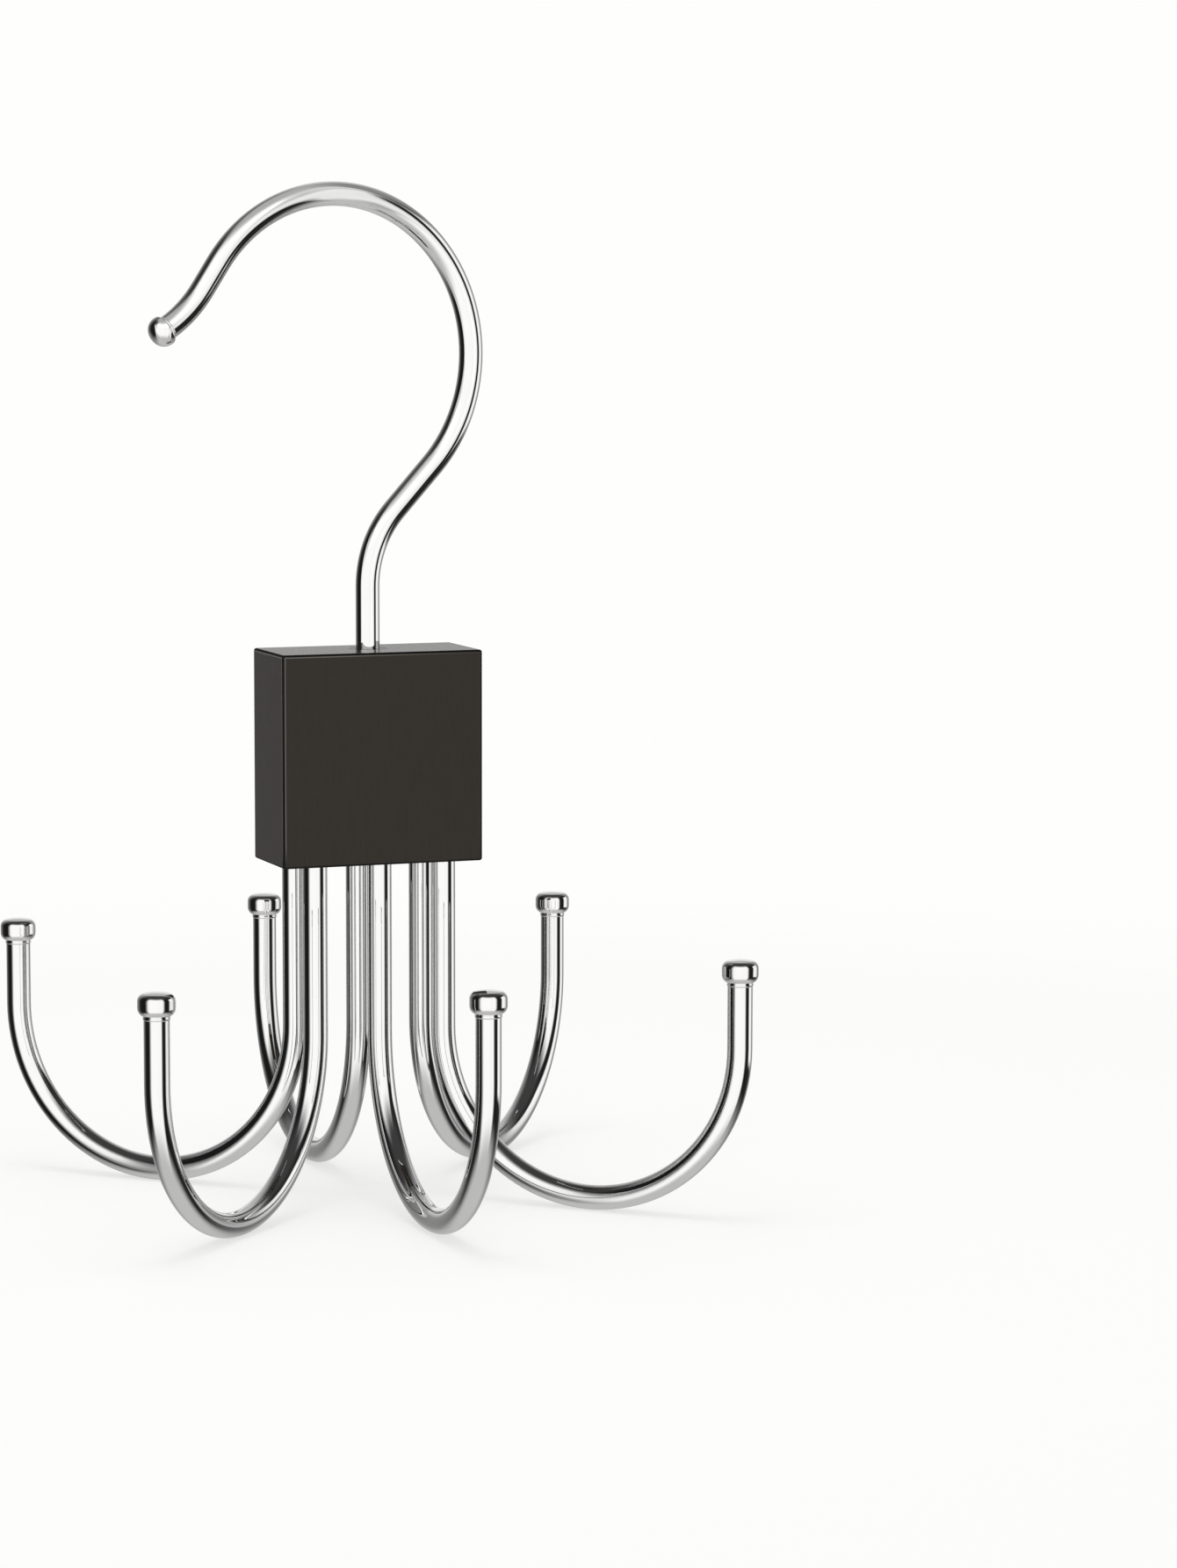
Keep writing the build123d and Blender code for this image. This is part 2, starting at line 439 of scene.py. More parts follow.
# %% Cap on the hook's tip
tip_cap = turn("tip_cap_pattern", cap_profile(
    stem=wire_radius,
    overhang=0.6 * mm,
    height=3.6 * mm,
    bead_out=0.12 * mm,
    bead_height=0.5 * mm,
    crown=2.3 * mm,
    camber=14,
    spigot=1.32 * mm,
    top_wall=1.3 * mm,
))
lean = math.radians(90) - tip["heading"]
tip_place = at_rest @ Matrix.Translation((tip["x"], 0, tip["z"])) @ Matrix.Rotation(lean, 4, "Y")
cap = copy_of(tip_cap, "pressed_cap_tip", tip_place)
stand_for(cap, "hanging_hook_cap", "hanging_hook_assembly", "chromed_cap")
bpy.data.objects.remove(tip_cap)

# %% [markdown]
# ## The block
#
# The block is a piece of close-grained hardwood, sanded sharp and lacquered. Its edges are only
# broken by half a millimetre, and that small round shows as a fine line between two faces, so it
# gets six strips. The sockets and the swivel's well are bored afterwards with booleans, as a drill
# would. Lacquer fills most of the chamfer at the well's mouth. Weighted normals keep the broad
# faces flat, and leave the turn to the rounds alone. The caps get them as well, for their crowns.

# %% Block
block_size = (38.2 * mm, 18.0 * mm, block_height)
edge_round = 0.5 * mm
round_strips = 6
socket_radius = 1.85 * mm
glue_gap = 0.1 * mm
socket_depth = tenon_length + glue_gap
well_radius = 3.52 * mm
head_room = 0.4 * mm
well_floor = washer_foot - head_height - head_room
mouth_chamfer = 0.05 * mm
past = 1.0 * mm

bpy.ops.object.select_all(action="DESELECT")
block_middle = (0, 0, block_foot + block_height / 2)
bpy.ops.mesh.primitive_cube_add(size=1, location=block_middle, scale=block_size)
bpy.ops.object.transform_apply(location=True, rotation=True, scale=True)
block = bpy.context.active_object
bpy.ops.object.mode_set(mode="EDIT")
bpy.ops.mesh.select_all(action="SELECT")
bpy.ops.mesh.bevel(offset=edge_round, segments=round_strips, affect="EDGES")
bpy.ops.object.mode_set(mode="OBJECT")


def bore(piece, profile, x, y):
    """Bores a round hole with this profile, standing at x and y."""
    cutter = turn("cutter", profile)
    cutter.location = (x, y, 0)
    cut = piece.modifiers.new("bore", "BOOLEAN")
    cut.operation = "DIFFERENCE"
    cut.solver = "EXACT"
    cut.object = cutter
    bpy.context.view_layer.objects.active = piece
    bpy.ops.object.modifier_apply(modifier=cut.name)
    bpy.data.objects.remove(cutter)


socket = [(socket_radius, block_foot - past), (socket_radius, block_foot + socket_depth)]
for x, y, _ in tie_hook_places.values():
    bore(block, socket, x, y)
well = [
    (well_radius, well_floor),
    (well_radius, block_top - mouth_chamfer),
    (well_radius + mouth_chamfer, block_top),
    (well_radius + mouth_chamfer, block_top + past),
]
bore(block, well, 0, 0)


def weigh_normals(piece):
    """Broad faces keep their own direction, so that they mirror like a flat board."""
    bpy.ops.object.select_all(action="DESELECT")
    piece.select_set(True)
    bpy.context.view_layer.objects.active = piece
    weighted = piece.modifiers.new("weighted normals", "WEIGHTED_NORMAL")
    weighted.keep_sharp = True
    bpy.ops.object.modifier_apply(modifier=weighted.name)


bpy.ops.object.select_all(action="DESELECT")
block.select_set(True)
bpy.context.view_layer.objects.active = block
bpy.ops.object.shade_smooth_by_angle(angle=math.radians(smooth_below))
weigh_normals(block)
block.name = "lacquered_block"
block.data.name = block.name
stand_for(block, "block", "block_assembly", "black_wood")
for node, piece in pieces.items():
    if "cap" in node:
        weigh_normals(piece)

# %% [markdown]
# ## The swivel
#
# The shank turns in a barbed nylon bush that is pressed into the top of the block. The CAD model
# sinks it by a fifth of a millimetre, but the picture shows no step round the shank, so here its
# upper ring is flush with the lacquer. The washer below it is hidden, but it is a real piece. Both
# are closed rings: the last ring of the profile meets the first, and the doubles are merged.

# %% Bush and washer
bush_radius = 3.5 * mm
bush_bore = 2.25 * mm
barb_depth = 0.2 * mm
barb_width = 1.2 * mm
barb_count = 3
bush_foot = bush_top - bush_length
bush_sunk = 0.02 * mm
bush_face = block_top - bush_sunk

profile = [(bush_bore, bush_foot), (bush_radius, bush_foot)]
for number in range(barb_count):
    middle = bush_foot + bush_length * (number + 1) / (barb_count + 1)
    for radius, side in ((bush_radius, -1), (bush_radius - barb_depth, -1),
                         (bush_radius - barb_depth, 1), (bush_radius, 1)):
        profile.append((radius, middle + side * barb_width / 2))
profile += [(bush_radius, bush_face), (bush_bore, bush_face)]
bush = turn("nylon_bush", profile, closed=True)
stand_for(bush, "swivel_bush", "block_assembly", "bush_nylon")

washer_bore = 2.23 * mm
washer_radius = 3.27 * mm
washer_edge = 0.1 * mm
profile = [
    (washer_bore, washer_foot),
    (washer_radius - washer_edge, washer_foot),
    (washer_radius, washer_foot + washer_edge),
    (washer_radius, washer_foot + washer_thickness - washer_edge),
    (washer_radius - washer_edge, washer_foot + washer_thickness),
    (washer_bore, washer_foot + washer_thickness),
]
washer = turn("steel_washer", profile, closed=True)
stand_for(washer, "hook_washer", "hanging_hook_assembly", "washer_steel")

# %% [markdown]
# ## How the finishes are written
#
# Colours are read off as sRGB hex values, but the shaders add up linear light, so one function
# turns them. One function adds a node, with its settings and its links. What is the same all over
# a surface is set on the shader's own socket, and only what changes over it gets nodes. A Mix node
# has several sockets of one name, for numbers and for colours, so its colours go by number.

# %% Helpers for the finishes
colour_a, colour_b, colour_out = 6, 7, 2


def linear(hex_colour):
    """An sRGB hex colour as linear RGBA."""
    channels = [int(hex_colour[i:i + 2], 16) / 255 for i in (1, 3, 5)]
    curve = [c / 12.92 if c <= 0.04045 else ((c + 0.055) / 1.055) ** 2.4 for c in channels]
    return (*curve, 1.0)


def add(tree, kind, inputs=(), **settings):
    """Adds a node. inputs gives sockets by name or number: a value, or another node's output."""
    node = tree.nodes.new(kind)
    for setting, value in settings.items():
        setattr(node, setting, value)
    for socket, value in dict(inputs).items():
        if isinstance(value, bpy.types.NodeSocket):
            tree.links.new(value, node.inputs[socket])
        else:
            node.inputs[socket].default_value = value
    return node


def finish(name, **constants):
    """A new material with constants on its shader's sockets. Gives it, its tree and its shader."""
    material = bpy.data.materials.new(name)
    material.use_nodes = True
    shader = material.node_tree.nodes["Principled BSDF"]
    for socket, value in constants.items():
        shader.inputs[socket.replace("_", " ")].default_value = value
    return material, material.node_tree, shader


def wear(piece, material):
    """The piece wears this finish all over."""
    piece.data.materials.clear()
    piece.data.materials.append(material)
    print(piece.name, "wears", material.name)


# %% [markdown]
# ## Bright chrome on drawn wire
#
# Decorative chrome is a thin bright layer over nickel. It mirrors what is round it almost without
# colour or loss. On drawn wire it is not quite a mirror: the polish leaves a faint ripple under the
# plating, and handling leaves soft patches where the mirror is a little duller. The ripple is
# about 0.6 mm long, the patches about 7 mm. A flat grey would look like paint here, because all
# that the eye reads on chrome is what it mirrors. Most of a noise lies between 0.3 and 0.7, so
# that part of it is stretched from the sharpest mirror to the softest.

# %% Chrome on the wires
ripple_length = 0.6
patch_length = 7.0
per_metre = 1000.0
noise_low = 0.3
noise_high = 0.7
sharpest_mirror = 0.01
softest_mirror = 0.025
relief_depth = 0.02 * mm

chrome, tree, shader = finish("bright_chrome_on_drawn_wire", Metallic=1.0)
coordinates = add(tree, "ShaderNodeTexCoord").outputs["Object"]
patches = add(tree, "ShaderNodeTexNoise", {
    "Vector": coordinates,
    "Scale": per_metre / patch_length,
    "Detail": 3.0,
    "Roughness": 0.55,
}).outputs["Fac"]
tint = add(tree, "ShaderNodeMix", {
    "Factor": patches,
    colour_a: linear("#fdfdfc"),
    colour_b: linear("#f7f7f6"),
}, data_type="RGBA").outputs[colour_out]
tree.links.new(tint, shader.inputs["Base Color"])
polish = add(tree, "ShaderNodeMapRange", {
    "Value": patches,
    "From Min": noise_low,
    "From Max": noise_high,
    "To Min": sharpest_mirror,
    "To Max": softest_mirror,
}).outputs["Result"]
tree.links.new(polish, shader.inputs["Roughness"])
ripple = add(tree, "ShaderNodeTexNoise", {
    "Vector": coordinates,
    "Scale": per_metre / ripple_length,
    "Detail": 2.0,
}).outputs["Fac"]
relief = add(tree, "ShaderNodeBump", {
    "Height": ripple,
    "Strength": 0.004,
    "Distance": relief_depth,
}).outputs["Normal"]
tree.links.new(relief, shader.inputs["Normal"])
for piece in pieces.values():
    if piece.get("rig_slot") == "chromed_wire":
        wear(piece, chrome)

# %% [markdown]
# ## Bright chrome on turned caps
#
# The caps are turned from bar and polished on a wheel, so they are the brightest mirror here. The
# wheel leaves softer, wider waves than the drawn wire has, and rings from the turning tool too fine
# to see one by one. They only make the mirror a trace less sharp, which the roughness gives.

# %% Chrome on the caps
wave_length = 1.8

cap_chrome, tree, shader = finish("bright_chrome_on_turned_cap", Metallic=1.0)
coordinates = add(tree, "ShaderNodeTexCoord").outputs["Object"]
waves = add(tree, "ShaderNodeTexNoise", {
    "Vector": coordinates,
    "Scale": per_metre / wave_length,
    "Detail": 2.0,
}).outputs["Fac"]
tint = add(tree, "ShaderNodeMix", {
    "Factor": waves,
    colour_a: linear("#fefdfc"),
    colour_b: linear("#f8f7f6"),
}, data_type="RGBA").outputs[colour_out]
tree.links.new(tint, shader.inputs["Base Color"])
polish = add(tree, "ShaderNodeMapRange", {
    "Value": waves,
    "From Min": noise_low,
    "From Max": noise_high,
    "To Min": sharpest_mirror,
    "To Max": softest_mirror,
}).outputs["Result"]
tree.links.new(polish, shader.inputs["Roughness"])
relief = add(tree, "ShaderNodeBump", {
    "Height": waves,
    "Strength": 0.03,
    "Distance": relief_depth,
}).outputs["Normal"]
tree.links.new(relief, shader.inputs["Normal"])
for piece in pieces.values():
    if piece.get("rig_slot") == "chromed_cap":
        wear(piece, cap_chrome)

# %% [markdown]
# ## Black satin lacquer on close-grained wood
#
# The block is stained black and sprayed with a satin lacquer. Seen square on it is a warm
# near-black, but its skin mirrors the white studio, and the flatter the look, the paler it gets:
# the side is grey and the top, seen at six degrees, is paler still. That comes from Fresnel in
# the shader and needs no paint. The grain runs up the block. It has been filled, so it shows only
# as the faintest lines. Real pores are finer than a pixel, so they are drawn half a millimetre
# wide. The stain has taken a little unevenly, in clouds about 14 mm wide.

# %% Stain and grain
grain_width = 0.5
grain_stretch = 0.06
cloud_width = 14.0

lacquer, tree, shader = finish("black_satin_lacquer_on_wood", IOR=1.4)
coordinates = add(tree, "ShaderNodeTexCoord").outputs["Object"]
along = add(tree, "ShaderNodeMapping", {
    "Vector": coordinates,
    "Scale": (1.0, 1.0, grain_stretch),
}).outputs["Vector"]
grain = add(tree, "ShaderNodeTexNoise", {
    "Vector": along,
    "Scale": per_metre / grain_width,
    "Detail": 4.0,
    "Roughness": 0.6,
    "Distortion": 0.3,
}).outputs["Fac"]
clouds = add(tree, "ShaderNodeTexNoise", {
    "Vector": coordinates,
    "Scale": per_metre / cloud_width,
    "Detail": 2.0,
}).outputs["Fac"]
stain = add(tree, "ShaderNodeMix", {
    "Factor": clouds,
    colour_a: linear("#281e0e"),
    colour_b: linear("#251c0d"),
}, data_type="RGBA").outputs[colour_out]
grained = add(tree, "ShaderNodeMix", {
    "Factor": grain,
    colour_a: stain,
    colour_b: linear("#1f170a"),
}, data_type="RGBA").outputs[colour_out]

# %% [markdown]
# ## Painted dark edges and a painted highlight
#
# Each round is coloured near-black, a painted dark line that stands for the dark which the
# rounds mirror. Beside it, upon the face, a paler line a fifth of a millimetre wide is a painted
# highlight, the glint where the round begins. It is strongest at the left and left out along the
# lower edges. All eight corners are folded onto one, so that three distances tell where a point is.
# Where it is near two faces at once, it is on a round. Where it is upon one face and half a
# millimetre in from the next, it is in the painted highlight.

# %% Edges of the block
# These set where the painted highlight lies: a band upon each face, just beside its round.
highlight_start = (0.62 * mm, 0.56 * mm)
highlight_stop = (0.42 * mm, 0.36 * mm)
highlight_face = (0.10 * mm, 0.02 * mm)
no_highlight_foot = (1.0 * mm, 4.0 * mm)
faintest_highlight = 0.1

from_middle = add(tree, "ShaderNodeVectorMath", {
    0: coordinates,
    1: block_middle,
}, operation="SUBTRACT").outputs[0]
folded = add(tree, "ShaderNodeVectorMath", {0: from_middle}, operation="ABSOLUTE").outputs[0]
sides = add(tree, "ShaderNodeSeparateXYZ", {"Vector": folded}).outputs
highlight_bands, upon, close = 0.0, 0.0, 0.0
for side, size in zip(sides, block_size):
    steps = []
    for first, last in (highlight_start, highlight_stop, highlight_face):
        steps.append(add(tree, "ShaderNodeMapRange", {
            "Value": side,
            "From Min": size / 2 - first,
            "From Max": size / 2 - last,
        }).outputs["Result"])
    band = add(tree, "ShaderNodeMath", {0: steps[0], 1: steps[1]}, operation="SUBTRACT").outputs[0]
    highlight_bands = add(tree, "ShaderNodeMath", {0: band, 1: highlight_bands}, operation="ADD").outputs[0]
    upon = add(tree, "ShaderNodeMath", {0: steps[2], 1: upon}, operation="ADD").outputs[0]
    close = add(tree, "ShaderNodeMath", {0: steps[1], 1: close}, operation="ADD").outputs[0]
place = add(tree, "ShaderNodeSeparateXYZ", {"Vector": coordinates}).outputs
# The painted highlight is left out along the lower edges and is strongest at the left.
above_foot = add(tree, "ShaderNodeMapRange", {
    "Value": place["Z"],
    "From Min": block_foot + no_highlight_foot[0],
    "From Max": block_foot + no_highlight_foot[1],
}).outputs["Result"]
highlight_leftwards = add(tree, "ShaderNodeMapRange", {
    "Value": place["X"],
    "From Min": block_size[0] / 2,
    "From Max": -block_size[0] / 4,
    "To Min": faintest_highlight,
}).outputs["Result"]
painted_highlight = add(tree, "ShaderNodeMath", {
    0: highlight_bands,
    1: upon,
}, operation="MULTIPLY", use_clamp=True).outputs[0]
for share in (above_foot, highlight_leftwards):
    painted_highlight = add(tree, "ShaderNodeMath", {0: painted_highlight, 1: share}, operation="MULTIPLY").outputs[0]
# Painted highlight: a paler line beside each round, standing for the glint where the round begins.
with_highlight = add(tree, "ShaderNodeMix", {
    "Factor": painted_highlight,
    colour_a: grained,
    colour_b: linear("#66625c"),
}, data_type="RGBA").outputs[colour_out]
rounded = add(tree, "ShaderNodeMath", {
    0: close,
    1: 1.0,
}, operation="SUBTRACT", use_clamp=True).outputs[0]
# Painted shade: the rounds are coloured near-black, a painted dark line for the dark that they
# mirror.
with_dark_edges = add(tree, "ShaderNodeMix", {
    "Factor": rounded,
    colour_a: with_highlight,
    colour_b: linear("#030303"),
}, data_type="RGBA").outputs[colour_out]
tree.links.new(with_dark_edges, shader.inputs["Base Color"])
highlight_width = (highlight_start[0] + highlight_start[1] - highlight_stop[0] - highlight_stop[1]) / 2
print("rounds", edge_round / mm, "mm, rubbed lines", round(highlight_width / mm, 2), "mm wide")

# %% [markdown]
# ## The skin of the lacquer
#
# The gloss follows the filled grain a little, so it varies along the same faint lines, and the
# rounds under the painted dark line are much duller. The sprayed skin has a fine peel about 0.9 mm
# wide.

# %% Satin and peel
peel_width = 0.9
glossiest = 0.22
least_glossy = 0.28
edge_dullness = 0.45

satin = add(tree, "ShaderNodeMapRange", {
    "Value": grain,
    "From Min": noise_low,
    "From Max": noise_high,
    "To Min": glossiest,
    "To Max": least_glossy,
}).outputs["Result"]
dulled = add(tree, "ShaderNodeMath", {
    0: rounded,
    1: edge_dullness,
    2: satin,
}, operation="MULTIPLY_ADD").outputs[0]
tree.links.new(dulled, shader.inputs["Roughness"])
peel = add(tree, "ShaderNodeTexNoise", {
    "Vector": coordinates,
    "Scale": per_metre / peel_width,
    "Detail": 1.0,
}).outputs["Fac"]
skin = add(tree, "ShaderNodeMath", {0: grain, 1: peel}, operation="ADD").outputs["Value"]
relief = add(tree, "ShaderNodeBump", {
    "Height": skin,
    "Strength": 0.12,
    "Distance": relief_depth,
}).outputs["Normal"]
tree.links.new(relief, shader.inputs["Normal"])
wear(pieces["block"], lacquer)

# %% [markdown]
# ## Moulded nylon and zinc
#
# The bush is black nylon. Its mould was finished by spark erosion, which leaves a fine satin grain.
# The washer is steel with a thin clear zinc plating, which is duller and bluer than chrome and has
# small crystals in it. Both grains are drawn coarser than they are, or no render would show them.

# %% Nylon bush and zinc washer
spark_grain = 0.15
crystal = 0.35

nylon, tree, shader = finish("black_moulded_nylon", IOR=1.53)
coordinates = add(tree, "ShaderNodeTexCoord").outputs["Object"]
spark = add(tree, "ShaderNodeTexNoise", {
    "Vector": coordinates,
    "Scale": per_metre / spark_grain,
    "Detail": 2.0,
}).outputs["Fac"]
shade = add(tree, "ShaderNodeMix", {
    "Factor": spark,
    colour_a: linear("#131110"),
    colour_b: linear("#1b1917"),
}, data_type="RGBA").outputs[colour_out]
tree.links.new(shade, shader.inputs["Base Color"])
matt = add(tree, "ShaderNodeMapRange", {"Value": spark, "To Min": 0.25, "To Max": 0.33})
tree.links.new(matt.outputs["Result"], shader.inputs["Roughness"])
relief = add(tree, "ShaderNodeBump", {"Height": spark, "Strength": 0.3, "Distance": 0.01 * mm})
tree.links.new(relief.outputs["Normal"], shader.inputs["Normal"])
wear(pieces["swivel_bush"], nylon)

zinc, tree, shader = finish("clear_zinc_on_steel", Metallic=1.0)
coordinates = add(tree, "ShaderNodeTexCoord").outputs["Object"]
crystals = add(tree, "ShaderNodeTexVoronoi", {
    "Vector": coordinates,
    "Scale": per_metre / crystal,
}).outputs["Color"]
facet = add(tree, "ShaderNodeSeparateColor", {"Color": crystals}).outputs["Red"]
shade = add(tree, "ShaderNodeMix", {
    "Factor": facet,
    colour_a: linear("#b4bac1"),
    colour_b: linear("#c6cbd0"),
}, data_type="RGBA").outputs[colour_out]
tree.links.new(shade, shader.inputs["Base Color"])
dull = add(tree, "ShaderNodeMapRange", {"Value": facet, "To Min": 0.25, "To Max": 0.4})
tree.links.new(dull.outputs["Result"], shader.inputs["Roughness"])
wear(pieces["hook_washer"], zinc)

# %% [markdown]
# ## The table
#
# The hanger stands on a small white table in front of a white backdrop. The table is a round sheet
# that fades out towards its rim, so that no edge or horizon shows behind the object from any side.
# It is matt white, which keeps the soft shadows, and it glows a little, as paper lit from below
# does, so that they stay as faint as in the picture. Gloss doesn't see it: the grey floor that the
# chrome mirrors belongs to the studio.

# %% Table
table_radius = 450 * mm
fade_from = 0.5
fade_to = 0.95
glow_share = 0.6
table_sides = 96

bpy.ops.object.select_all(action="DESELECT")
bpy.ops.mesh.primitive_circle_add(vertices=table_sides, radius=table_radius, fill_type="NGON")
table = bpy.context.active_object
table.name = "white_table"
table.visible_glossy = False
sheet = bpy.data.materials.new("matt_white_table")
sheet.use_nodes = True
tree = sheet.node_tree
tree.nodes.clear()
coordinates = add(tree, "ShaderNodeTexCoord").outputs["Object"]
outwards = add(tree, "ShaderNodeVectorMath", {0: coordinates}, operation="LENGTH").outputs["Value"]
fade = add(tree, "ShaderNodeMapRange", {
    "Value": outwards,
    "From Min": table_radius * fade_from,
    "From Max": table_radius * fade_to,
}, interpolation_type="SMOOTHSTEP").outputs["Result"]
matt = add(tree, "ShaderNodeBsdfDiffuse", {"Color": linear("#fefefd")}).outputs[0]
lit = add(tree, "ShaderNodeEmission", {"Color": linear("#fefefd"), "Strength": 1.0}).outputs[0]
seen_directly = add(tree, "ShaderNodeLightPath").outputs["Is Camera Ray"]
lit_share = add(tree, "ShaderNodeMath", {
    0: seen_directly,
    1: glow_share,
}, operation="MULTIPLY").outputs[0]
paper = add(tree, "ShaderNodeMixShader", {0: lit_share, 1: matt, 2: lit}).outputs[0]
clear = add(tree, "ShaderNodeBsdfTransparent").outputs[0]
faded = add(tree, "ShaderNodeMixShader", {0: fade, 1: paper, 2: clear}).outputs[0]
add(tree, "ShaderNodeOutputMaterial", {"Surface": faded})
table.data.materials.append(sheet)
print("table clear from", round(table_radius * fade_to / mm), "mm out")

# %% [markdown]
# ## The studio, as the chrome sees it
#
# Chrome shows the studio, so the studio is drawn with care. The camera sees plain white all round.
# Diffuse surfaces get an even white light. Only rays that come off a gloss see what stands round
# the table: a wide white softbox behind the camera, a black flag on either side of it, a white
# card beyond the right flag, a grey back wall with a paler strip at table height, a dark ceiling
# and a grey floor. On each upright wire these make the dark left edge, the white middle and the
# thin black line, on each cap the black band under the rim and the pale top, and on each bowl the
# grey underside. They could be cards in the scene, but in the world they throw no shadow and block
# no other view. The world is turned with the camera's first place and then stays put, whichever
# side is looked at.

# %% A builder for panels of light


def panels_seen(tree, direction, panels):
    """The summed light of all panels in a direction.

    A panel's levels are stops of (degrees round the table, level), with 0 at the camera's side and
    the right at 90. Each of its fades is 0 at one elevation and 1 at another, also in degrees.
    Widening spreads it sideways the higher or lower the look goes.
    """
    turned = add(tree, "ShaderNodeMapping", {
        "Vector": direction,
        "Rotation": (0, 0, camera_yaw),
    }).outputs["Vector"]
    axes = add(tree, "ShaderNodeSeparateXYZ", {"Vector": turned}).outputs
    height = axes["Z"]
    nearer = add(tree, "ShaderNodeMath", {0: axes["Y"], 1: -1.0}, operation="MULTIPLY").outputs[0]
    angle = add(tree, "ShaderNodeMath", {0: axes["X"], 1: nearer}, operation="ARCTAN2").outputs[0]
    squared = add(tree, "ShaderNodeMath", {0: height, 1: height}, operation="MULTIPLY").outputs[0]
    total = 0.0
    for panel in panels:
        wider = add(tree, "ShaderNodeMath", {
            0: squared,
            1: panel.get("widening", 0.0),
            2: 1.0,
        }, operation="MULTIPLY_ADD").outputs[0]
        narrowed = add(tree, "ShaderNodeMath", {0: angle, 1: wider}, operation="DIVIDE").outputs[0]
        place = add(tree, "ShaderNodeMapRange", {
            "Value": narrowed,
            "From Min": -math.pi,
            "From Max": math.pi,
        }).outputs["Result"]
        bands = add(tree, "ShaderNodeValToRGB", {"Fac": place})
        ramp = bands.color_ramp
        while len(ramp.elements) < len(panel["levels"]):
            ramp.elements.new(0.5)
        for element, (degrees, level) in zip(ramp.elements, panel["levels"]):
            element.position = degrees / 360 + 0.5
            element.color = (level, level, level, 1)
        light = bands.outputs["Color"]
        for dark_end, lit_end in panel["fades"]:
            fade = add(tree, "ShaderNodeMapRange", {
                "Value": height,
                "From Min": math.sin(math.radians(dark_end)),
                "From Max": math.sin(math.radians(lit_end)),
            }, interpolation_type="SMOOTHSTEP").outputs["Result"]
            light = add(tree, "ShaderNodeMath", {
                0: light,
                1: fade,
            }, operation="MULTIPLY").outputs[0]
        total = add(tree, "ShaderNodeMath", {0: total, 1: light}, operation="ADD").outputs[0]
    return total


# %% [markdown]
# ## The panels and the world
#
# A round wire mirrors the whole circle round it. Its middle shows what stands behind the camera,
# and its rims what stands behind the wire. So the tones across an upright wire give the level at
# each angle round the table, and the tones down a bowl or a cap give the heights.

# %% Studio
walls = {"fades": [(69, 31), (-62, -28)], "levels": [
    (-180, 0.50), (-158, 0.40), (-146, 0.27), (-128, 0.17), (-113, 0.04), (-98, 0.01), (-64, 0.01),
    (-53, 0.34), (-46, 0.88), (-36, 1.0), (-8, 1.0), (8, 1.0), (20, 0.97), (38, 1.0), (46, 0.88),
    (52, 0.27), (58, 0.01), (116, 0.02), (138, 0.20), (160, 0.36), (180, 0.50),
]}
right_card = {"fades": [(-18, -13), (32, 22)], "levels": [
    (-180, 0.0), (84, 0.0), (90, 0.50), (94, 0.98), (104, 0.98), (118, 0.76), (127, 0.31),
    (138, 0.0), (180, 0.0),
]}
back_strip = {"fades": [(-10, -3), (20, 12)], "levels": [
    (-180, 0.34), (-160, 0.27), (-146, 0.0), (146, 0.0), (160, 0.27), (180, 0.34),
]}
ceiling = {"fades": [(31, 69)], "levels": [(-180, 0.045), (180, 0.045)]}
floor = {"fades": [(-28, -62)], "levels": [(-180, 0.51), (180, 0.51)]}
even_light = 0.76

world = bpy.data.worlds.new("white_studio")
world.use_nodes = True
bpy.context.scene.world = world
tree = world.node_tree
tree.nodes.clear()
direction = add(tree, "ShaderNodeTexCoord").outputs["Generated"]
panels = (walls, right_card, back_strip, ceiling, floor)
studio = panels_seen(tree, direction, panels)
ray = add(tree, "ShaderNodeLightPath").outputs
lit = add(tree, "ShaderNodeMix", {
    "Factor": ray["Is Glossy Ray"],
    colour_a: (even_light, even_light, even_light, 1),
    colour_b: studio,
}, data_type="RGBA").outputs[colour_out]
seen = add(tree, "ShaderNodeMix", {
    "Factor": ray["Is Camera Ray"],
    colour_a: lit,
    colour_b: linear("#fefefd"),
}, data_type="RGBA").outputs[colour_out]
glow = add(tree, "ShaderNodeBackground", {"Color": seen, "Strength": 1.0}).outputs[0]
add(tree, "ShaderNodeOutputWorld", {"Surface": glow})
print("chrome sees", len(panels), "panels, the rest sees an even light of", even_light)

# %% [markdown]
# ## More light for the hanging hook
#
# The hanging hook stands higher and nearer to the softbox, which looks larger in it, and the
# ceiling over it is lit. A glowing dome adds that light. It is clear, so what is behind it still
# shows, and light linking lets it shine only on the hanging hook and its cap, so the tie hooks keep
# their dark ceiling. The camera and the shadows don't see it.

# %% Dome
dome_radius = 4000 * mm
wider_softbox = {"fades": [(46, 26), (-58, -26)], "widening": 0.6, "levels": [
    (-180, 0.0), (-66, 0.0), (-61, 0.50), (-56, 0.75), (-50, 0.35), (-42, 0.08), (-34, 0.0),
    (34, 0.0), (42, 0.06), (50, 0.50), (56, 0.85), (65, 0.80), (69, 0.0), (180, 0.0),
]}
lit_ceiling = {"fades": [(24, 48), (80, 55)], "levels": [
    (-180, 0.28), (-160, 0.05), (-135, 0.0), (-78, 0.0), (-65, 0.10), (-50, 0.35), (-34, 0.58),
    (86, 0.62), (96, 0.15), (112, 0.25), (140, 0.10), (180, 0.28),
]}
zenith = {"fades": [(55, 80)], "levels": [(-180, 0.38), (180, 0.38)]}

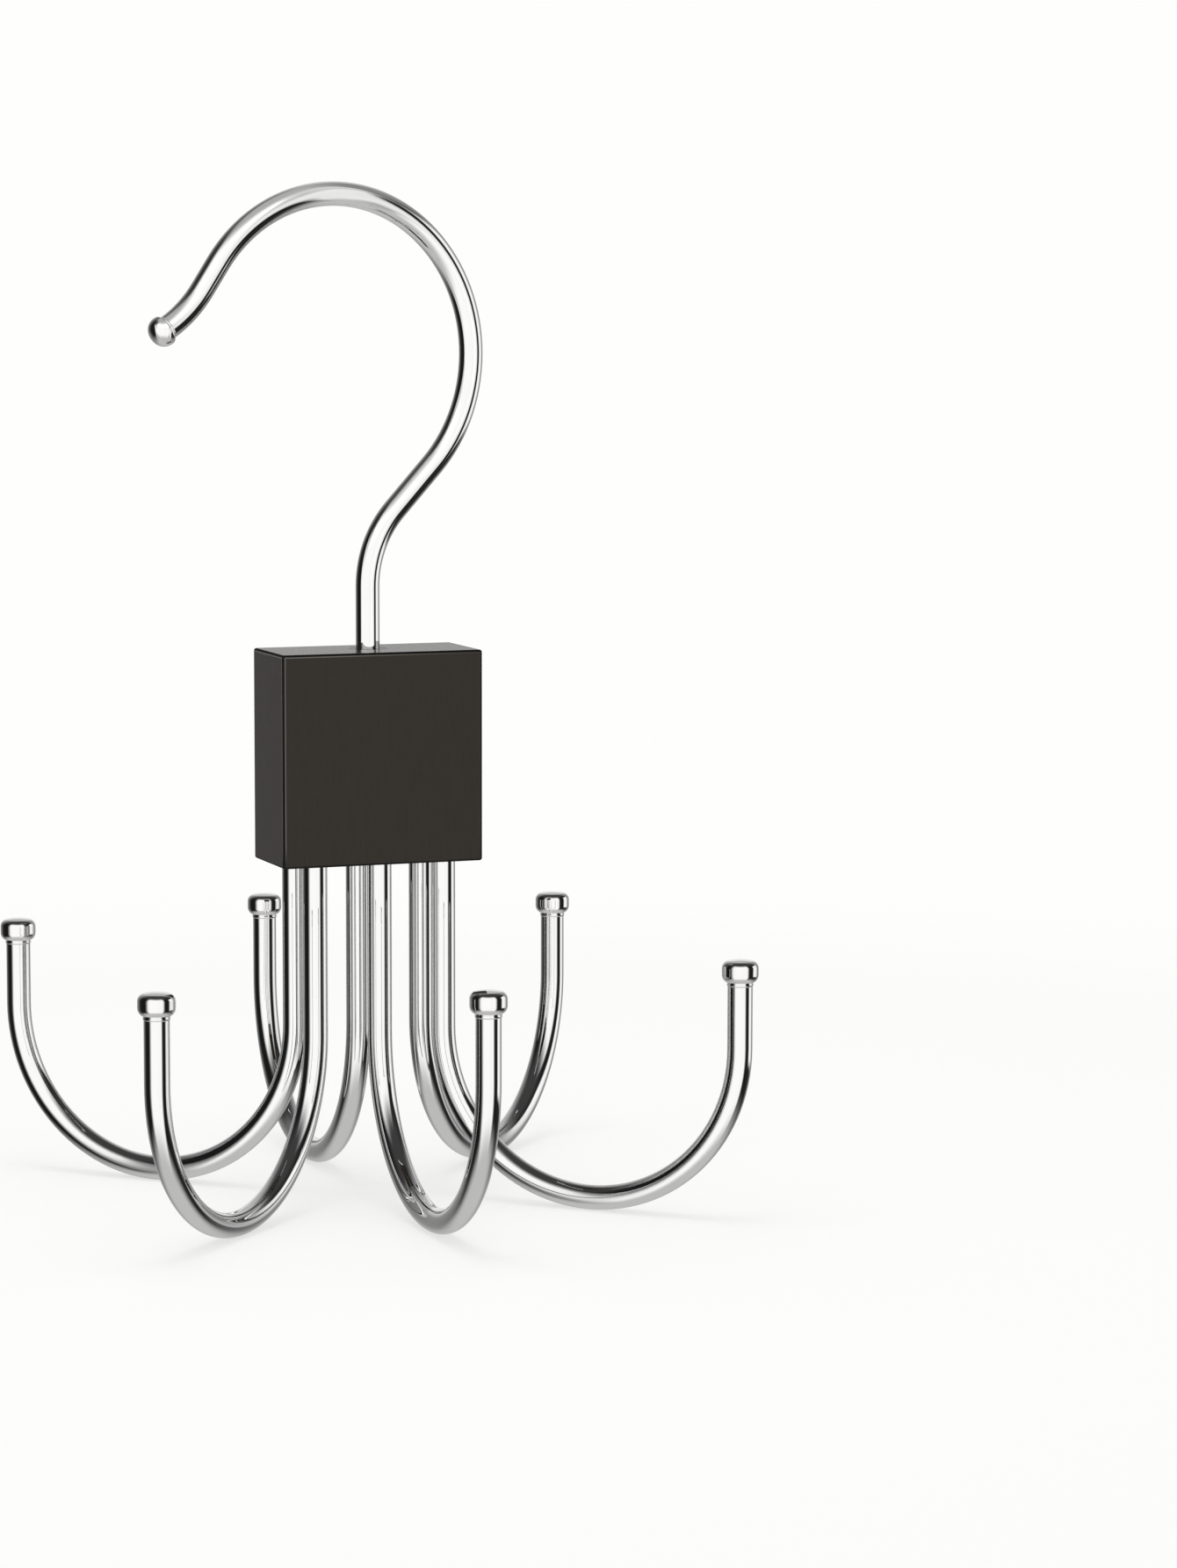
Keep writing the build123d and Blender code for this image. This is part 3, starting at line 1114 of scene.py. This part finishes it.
bpy.ops.object.select_all(action="DESELECT")
bpy.ops.mesh.primitive_uv_sphere_add(segments=64, ring_count=32, radius=dome_radius)
dome = bpy.context.active_object
dome.name = "lit_dome"
dome.visible_camera = False
dome.visible_diffuse = False
dome.visible_transmission = False
dome.visible_shadow = False
only_hook = bpy.data.collections.new("hanging_hook_only")
only_hook.objects.link(pieces["hanging_hook"])
only_hook.objects.link(pieces["hanging_hook_cap"])
dome.light_linking.receiver_collection = only_hook
gauze = bpy.data.materials.new("glowing_gauze")
gauze.use_nodes = True
gauze.cycles.emission_sampling = "NONE"
tree = gauze.node_tree
tree.nodes.clear()
place = add(tree, "ShaderNodeTexCoord").outputs["Object"]
direction = add(tree, "ShaderNodeVectorMath", {0: place}, operation="NORMALIZE").outputs["Vector"]
extra = panels_seen(tree, direction, (wider_softbox, lit_ceiling, zenith))
glow = add(tree, "ShaderNodeEmission", {"Color": extra, "Strength": 1.0}).outputs[0]
clear = add(tree, "ShaderNodeBsdfTransparent").outputs[0]
both = add(tree, "ShaderNodeAddShader", {0: glow, 1: clear}).outputs[0]
add(tree, "ShaderNodeOutputMaterial", {"Surface": both})
dome.data.materials.append(gauze)

# %% [markdown]
# ## The lamp overhead
#
# The world's light comes from all sides and leaves hardly a shadow. A square softbox above the
# table throws the soft shadow under each bend. The picture shows no lamp in the chrome, so gloss
# doesn't see it. Its power comes from the level that it gives a white sheet below it, which is the
# power over pi squared and the height squared.

# %% Overhead softbox
lamp_left = 60 * mm
lamp_forward = 40 * mm
lamp_height = 800 * mm
lamp_side = 320 * mm
lamp_level = 0.24

light = bpy.data.lights.new("overhead_softbox", "AREA")
light.shape = "SQUARE"
light.size = lamp_side
light.energy = lamp_level * math.pi ** 2 * lamp_height ** 2
lamp = bpy.data.objects.new("overhead_softbox", light)
bpy.context.scene.collection.objects.link(lamp)
lamp.location = (-lamp_left, -lamp_forward, lamp_height)
lamp.visible_glossy = False
lamp.visible_camera = False
bpy.context.scene.view_settings.view_transform = "Standard"
print("white under the softbox gets", lamp_level, "from it, and", even_light, "from the world")
